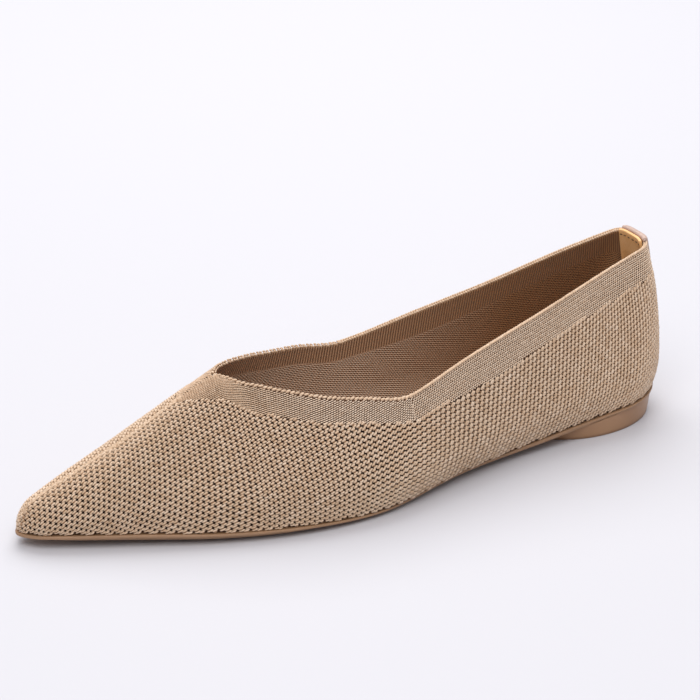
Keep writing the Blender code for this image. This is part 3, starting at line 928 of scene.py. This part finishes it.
def band_places(side, chance):
    """The fine stitches of the collar band: staggered round the V, and behind it in rows along the edge."""
    wall = WALLS[side]
    ahead = np.maximum(wall.x - THROAT_POINT, 0) * BAND_AT_POINT / BAND_AHEAD
    corner = station_of(POINT_EDGE_FROM)
    point_rows = ahead / POINT_ROW + POINT_CLIMB * wall.edge_arc

    def depth_from(u):
        return np.where(along(u) > THROAT_POINT, -0.2 * side, 0.75)

    def depth_to(u):
        return band_depth(along(u)) + 0.6

    # Round the V one kind of stroke. Behind it strands along the rows, and strokes across between them.
    kinds = (
        (True, POINT_SLANT, 0.0, 0.0, (0.73, 1.0, 1.0)),
        (False, 4.0, 0.0, 0.0, (0.64, 1.0, 0.98)),
        (False, BAND_SLANT, 0.5, 0.1, (0.56, 1.0, 0.7)),
    )
    parts = []
    for at_point, slant, lower, sunk, size in kinds:
        row, lean, rows, pitch = POINT_ROW, POINT_LEAN, point_rows, POINT_PITCH
        if not at_point:
            row, lean, rows = BAND_ROW, BAND_LEAN, 0 * ahead
            pitch = np.interp(wall.x[1:], *np.transpose(BAND_PITCH))
        columns = running(np.diff(wall.edge_arc) / pitch)
        found = lattice(wall, rows, row, columns, lambda x: np.full_like(x, lean),
                        depth_from, depth_to, at_point)
        past = found[:, 0] - corner
        found = found[past > -OVERLAP_U] if at_point else found[past < OVERLAP_U]
        clear = np.abs(wall.at(found[:, 0], found[:, 1])[0][:, 1]) > TAB_HALF_WIDTH - 1.0
        u, down, number = found[clear | (along(found[:, 0]) > TAB_REACH)].T
        count = len(u)
        degrees = slant + chance.normal(0, 3, count)
        point, normal, _, axes = strokes(wall, u, np.maximum(down + lower * row, 0), ahead, degrees)
        # Behind the V every second row lies a little deeper.
        deeper = sunk + (0 if at_point else 0.08) * (number % 2)
        centre = point - (BAND_RECESS + BAND_SINK + deeper)[:, None] * normal
        own = np.array(size) * (1 + chance.normal(0, LOOP_SPREAD, count))[:, None]
        # A stroke that lies deeper gets a tone lower by as much: painted shade in its recess.
        tone = np.interp(along(u), *np.transpose(BAND_TONE)) - deeper + chance.normal(0, TONE_SPREAD, count)
        parts.append((centre, *axes, own, tone))
    return joined(parts)


def build_band(chance):
    pieces = []
    for side, word in SIDES:
        pieces.append(beads(f"collar_band_{word}", band_places(side, chance), (1.2, 0.72, 0.8), BAND_YARN))
    return pieces


def edge_places(side, at_point, out, lift, chance):
    """A row of slanted loops along the throat edge of one side, clear of the heel tab.

    Along the V the loops are longer and their edge is scalloped. Behind it they are fine and even.
    """
    wall = WALLS[side]
    corner, tip = np.interp(station_of([POINT_EDGE_FROM, THROAT_POINT]), wall.u, wall.edge_arc)
    if at_point:
        marks = np.arange(corner, tip, POINT_EDGE_PITCH)
    else:
        marks = np.arange(EDGE_PITCH / 2, corner, EDGE_PITCH)
    u = np.interp(marks, wall.edge_arc, wall.u)
    clear = (np.abs(wall.at(u, 0)[0][:, 1]) > TAB_HALF_WIDTH + 0.3) | (along(u) > TAB_REACH)
    u = u[clear]
    count = len(u)
    degrees = EDGE_SLANT + chance.normal(0, 4, count)
    point, normal, up, axes = strokes(wall, u, np.zeros(count), np.zeros(GRID_U), degrees)
    wavy = 0.07 * (-1.0) ** np.arange(count) if at_point else np.zeros(count)
    centre = point + out * normal + (lift + wavy)[:, None] * up
    own = np.ones((count, 3)) * (1 + chance.normal(0, LOOP_SPREAD, count))[:, None]
    if at_point:
        own = own * (1.1, 1.0, 1.35)
    return centre, *axes, own, EDGE_TONE + chance.normal(0, LOOP_SPREAD, count)


def build_edge(chance):
    """The rolled throat edge: a row of loops on its outer side and one on its inner side."""
    rows = []
    for side in (1, -1):
        for at_point in (True, False):
            rows += [edge_places(side, at_point, out, lift, chance) for out, lift in EDGE_ROWS]
    return beads("collar_edge", joined(rows), (1.5, 0.92, 1.0), BAND_YARN, rings=5)


def back_point(across, down, out):
    """Points at the heel back: across from the centre, down from the topline, out from the wall."""
    across = np.asarray(across, float)
    points = np.empty((len(across), 3))
    us = np.linspace(0, 0.34, 200)
    for k, (y, depth, proud) in enumerate(zip(across, down, out)):
        wall = WALLS[1 if y >= 0 else -1]
        level = np.full(len(us), max(depth, 0.0))
        reach = wall.side * wall.at(us, level)[0][:, 1]
        u = float(np.interp(abs(y), reach, us))
        point, normal = wall.at(u, max(depth, 0.0))
        point = point + proud * normal
        if depth < 0:
            upward = wall.at(u, 0.0)[0] - wall.at(u, 0.6)[0]
            point = point - depth * unit(upward)
        points[k] = point
    return points


def rounded(outline, fillet, count):
    """A closed outline with each corner rounded, and points spread along it."""
    outline = np.array(outline, float)
    turned = []
    for before, corner, after in zip(np.roll(outline, 1, 0), outline, np.roll(outline, -1, 0)):
        back = before - corner
        forth = after - corner
        reach_back = min(fillet, np.linalg.norm(back) / 2.2)
        reach_forth = min(fillet, np.linalg.norm(forth) / 2.2)
        start = corner + unit(back) * reach_back
        end = corner + unit(forth) * reach_forth
        for t in np.linspace(0, 1, count):
            turned.append(start * (1 - t) ** 2 + 2 * corner * t * (1 - t) + end * t**2)
    return np.array(turned)


def build_strip(name, half_width, outline, material, press=0.0):
    """A strip of leather at the heel back from its outline, with its side ends rounded off.

    Its outer side is pressed towards the wall at the ends.
    """
    ends = ((0.0, 0.28), (0.04, 0.12), (0.2, 0.03), (0.45, 0.0))
    spans = np.linspace(-(half_width - 0.9), half_width - 0.9, 41)
    places = [(gap - half_width, sink) for gap, sink in ends] + [(y, 0.0) for y in spans]
    places += [(half_width - gap, sink) for gap, sink in reversed(ends)]
    forth = unit(np.roll(outline, -1, 0) - np.roll(outline, 1, 0))
    inward = np.column_stack([-forth[:, 1], forth[:, 0]])
    after = np.roll(outline, -1, 0)
    if np.sum(outline[:, 0] * after[:, 1] - after[:, 0] * outline[:, 1]) < 0:
        inward = -inward
    loops = []
    for y, sink in places:
        ring = outline + sink * inward
        ring[:, 1] -= press * max(1 - (half_width - abs(y)) / 2.5, 0) ** 2 * np.clip(1 + ring[:, 1], 0, 1)
        loops.append(back_point(np.full(len(ring), y), ring[:, 0], ring[:, 1]))
    count = len(outline)
    faces = ring_faces(len(loops), count)
    faces.append(tuple(range(count)))
    faces.append(tuple(range((len(loops) - 1) * count, len(loops) * count))[::-1])
    return closed_up(new_object(name, np.array(loops).reshape(-1, 3), faces, [material]))


def build_heel_tab():
    dense = rounded(TAB_PROFILE, TAB_FILLET, 3)
    return build_strip("heel_tab_leather", TAB_HALF_WIDTH, dense, TAB_LEATHER, TAB_PRESS)


def build_heel_grip():
    low = float(LEFT.total[0]) - INSOLE_THICK - GRIP_CLEAR
    downs = np.concatenate([[GRIP_FROM, 0.4], np.linspace(low / 14, low, 14)])
    face = [(down, GRIP_FACE) for down in downs]
    back = [(down, GRIP_FACE - GRIP_THICK) for down in downs[::-1]]
    dense = rounded(face + back, GRIP_FILLET, 3)
    return build_strip("heel_grip_leather", GRIP_HALF_WIDTH, dense, GRIP_LEATHER)


def build_sewing(chance):
    """Thread stitches along the top of the heel grip."""
    spots = np.arange(-SEWING_HALF, SEWING_HALF + 0.05, SEWING_PITCH)
    marks = np.array([(y, SEWING_DOWN, GRIP_FACE - GRIP_THICK) for y in spots])
    step = 0.3
    point = back_point(marks[:, 0], marks[:, 1], marks[:, 2])
    ahead = back_point(marks[:, 0] + step, marks[:, 1], marks[:, 2])
    lower = back_point(marks[:, 0], marks[:, 1] + step, marks[:, 2])
    long = unit(ahead - point)
    out = unit(np.cross(long, lower - point))
    across = np.cross(out, long)
    count = len(marks)
    tone = THREAD_TONE + chance.normal(0, 0.08, count)
    places = (point, across, out, long, np.ones((count, 3)), tone)
    return beads("leather_sewing", places, (1.6, 0.5, 0.45), TAN_THREAD, sides=8, rings=6)


def feather_rim(us, sides, out):
    """Points beside the feather edge, at its height."""
    edge, normals = on_sides(us, sides, totals(us, sides), 0.0)
    normals[:, 2] = 0
    return edge + np.broadcast_to(out, len(us))[:, None] * unit(normals)


def spine(us):
    """The middle line of the sole, which the rings of a flat piece shrink to."""
    x = np.clip(along(us), *SOLE_SPINE)
    return np.stack([x, (section("left", x) + section("right", x)) / 2], axis=-1)


def flat_piece(name, steps, material, rim_out):
    """A closed piece over rings of the sole's plan: each step has a share, an inset and a height."""
    us, sides = stations(SOLE_U)
    rim = feather_rim(us, sides, rim_out(along(us)))[:, :2]
    middle = spine(us)
    inward = unit(middle - rim + 1e-9)
    loops = []
    for share, inset, height in steps:
        plan = middle + share * (rim + inset * inward - middle)
        x = np.clip(plan[:, 0], 0, LENGTH)
        loops.append(np.column_stack([plan, height(x)]))
    faces = ring_faces(len(loops), len(us))
    return closed_up(new_object(name, np.array(loops).reshape(-1, 3), faces, [material]))


def build_outsole():
    def top(x):
        return section("bottom", x) - GAP

    def edge(x):
        return top(x) - sole("edge", x)

    def tread(x):
        return sole("tread", x)

    def between(upper, lower, share):
        return lambda x: upper(x) * (1 - share) + lower(x) * share

    steps = [(0.0, 0.0, top), (0.5, 0.0, top), (0.9, 0.0, top), (1.0, 0.3, top)]
    for inset, share in ((0.08, 0.06), (0.0, 0.22), (0.0, 0.8), (0.1, 0.96)):
        steps.append((1.0, inset, between(top, edge, share)))
    steps.append((0.985, 0.2, edge))
    for place, share in ((0.96, 0.28), (0.93, 0.55), (0.86, 0.88)):
        steps.append((place, 0.0, between(edge, tread, share)))
    steps += [(0.8, 0.0, tread), (0.45, 0.0, tread), (0.0, 0.0, tread)]
    return flat_piece("outsole_rubber", steps, SOLE_RUBBER, lambda x: sole("proud", x))


def build_insole():
    def raised(share):
        return lambda x: section("bottom", x) + share * INSOLE_THICK

    rings = ((0.0, 0.0, 1.0), (0.55, 0.0, 1.0), (0.85, 0.0, 1.0), (1.0, 0.9, 1.0), (1.0, 0.35, 0.93),
             (1.0, 0.05, 0.75), (1.0, 0.0, 0.5), (1.0, 0.0, 0.0), (0.5, 0.0, 0.0), (0.0, 0.0, 0.0))
    steps = [(place, inset, raised(share)) for place, inset, share in rings]
    return flat_piece("insole_sock", steps, SOCK_LEATHER, lambda x: INSOLE_TUCK - WALL)


def oval(middle, half_length, half_width, squareness):
    turn = np.linspace(0, 2 * np.pi, OVAL_POINTS, endpoint=False)
    power = 2 / squareness
    x = middle + half_length * np.sign(np.cos(turn)) * np.abs(np.cos(turn)) ** power
    y = HEEL_SIDE + half_width * np.sign(np.sin(turn)) * np.abs(np.sin(turn)) ** power
    return np.column_stack([x, y])


def build_heel():
    """The heel block: an oval wedge under the sole with its edges eased."""
    floor = oval(*HEEL_FLOOR)
    head = oval(*HEEL_TOP)
    middle = np.column_stack([np.clip(floor[:, 0], *HEEL_SPINE), np.full(len(floor), HEEL_SIDE)])
    loops = []

    def under_sole(plan):
        return sole("tread", np.clip(plan[:, 0], 0, LENGTH)) - GAP

    def ring(plan, inset, height):
        inner = plan + inset * unit(middle - plan)
        loops.append(np.column_stack([inner, np.broadcast_to(height, len(plan))]))

    under = under_sole(head)
    for share in (0.0, 0.5, 0.9):
        plan = middle + share * (head - middle)
        loops.append(np.column_stack([plan, under_sole(plan)]))
    ring(head, 0.2, under)
    ring(head, 0.05, under - 0.06)
    for share in (0.04, 0.3, 0.65, 0.9):
        ring(head + share * (floor - head), 0.0, under + share * (0.45 - under))
    ring(floor, 0.03, np.minimum(0.22, 0.6 * under))
    ring(floor, 0.16, np.minimum(0.06, 0.3 * under))
    ring(floor, 0.42, 0.0)
    for share in (0.9, 0.5, 0.0):
        plan = middle + share * (floor - middle)
        loops.append(np.column_stack([plan, np.zeros(len(plan))]))
    faces = ring_faces(len(loops), len(floor))
    return closed_up(new_object("heel_block", np.array(loops).reshape(-1, 3), faces, [HEEL_PLASTIC]))


def build_camera():
    """The photograph's view, with the lens given in pixels of its frame."""
    azimuth, elevation = np.radians(VIEW_AZIMUTH), np.radians(VIEW_ELEVATION)
    level = np.cos(elevation)
    back = Vector((np.sin(azimuth) * level, -np.cos(azimuth) * level, np.sin(elevation)))
    lens = bpy.data.cameras.new("photo_camera")
    lens.sensor_width = SENSOR
    lens.lens = LENS_PIXELS / PHOTO_PIXELS * SENSOR
    lens.clip_start = 0.01
    camera = bpy.data.objects.new("photo_camera", lens)
    bpy.context.scene.collection.objects.link(camera)
    camera.location = Vector(to_part(VIEW_TARGET)) + back * VIEW_DISTANCE * MM
    camera.rotation_mode = "QUATERNION"
    camera.rotation_quaternion = (-back).to_track_quat("-Z", "Y")
    bpy.context.scene.camera = camera


def build_studio():
    """A pale floor, a surround that is white overhead and dim low down, and two soft lights."""
    scene = bpy.context.scene
    scene.view_settings.view_transform = "Standard"
    floor_paint, tree = new_material("matt white studio floor")
    shade_with(tree, {"Base Color": linear("#CDCCD0"), "Roughness": 0.9, "Specular IOR Level": 0.1})
    half = 3000.0
    corners = [(-half, -half, 0.0), (half, -half, 0.0), (half, half, 0.0), (-half, half, 0.0)]
    floor = new_object("studio_floor", corners, [(0, 1, 2, 3)], [floor_paint])
    world = bpy.data.worlds.new("white studio")
    scene.world = world
    world.use_nodes = True
    sky = world.node_tree
    direction = add(sky, "ShaderNodeTexCoord").outputs["Generated"]
    height = add(sky, "ShaderNodeSeparateXYZ", {"Vector": direction}).outputs["Z"]
    glow = add(sky, "ShaderNodeMapRange",
               {"Value": height, "From Min": 0.0, "From Max": 0.8, "To Min": 0.08, "To Max": 0.78})
    background = sky.nodes["Background"]
    background.inputs["Color"].default_value = linear("#FBFAFF")
    sky.links.new(glow.outputs["Result"], background.inputs["Strength"])
    lamps = (("top_light", (-0.3, -0.62, 1.12), 1.1, 14.2), ("front_light", (0.42, 0.66, 1.2), 0.9, 9.0))
    for name, place, size, power in lamps:
        lamp = bpy.data.lights.new(name, "AREA")
        lamp.shape = "SQUARE"
        lamp.size = size
        lamp.energy = power
        thing = bpy.data.objects.new(name, lamp)
        scene.collection.objects.link(thing)
        thing.location = place
        thing.rotation_mode = "QUATERNION"
        thing.rotation_quaternion = (-Vector(place)).to_track_quat("-Z", "Y")


build_camera()
chance = np.random.default_rng(SEED)
shell = build_shell()
pieces = [(shell, "upper")]
pieces += [(piece, "upper") for piece in build_knit(chance)]
pieces += [(piece, "upper") for piece in build_band(chance)]
pieces.append((build_edge(chance), "upper"))
pieces.append((build_heel_tab(), "heel_tab"))
pieces.append((build_heel_grip(), "heel_grip"))
pieces.append((build_sewing(chance), "heel_grip"))
pieces.append((build_outsole(), "outsole"))
pieces.append((build_heel(), "heel"))
pieces.append((build_insole(), "insole"))
for piece, node in pieces:
    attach(piece, "root")
    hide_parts(node)
build_studio()
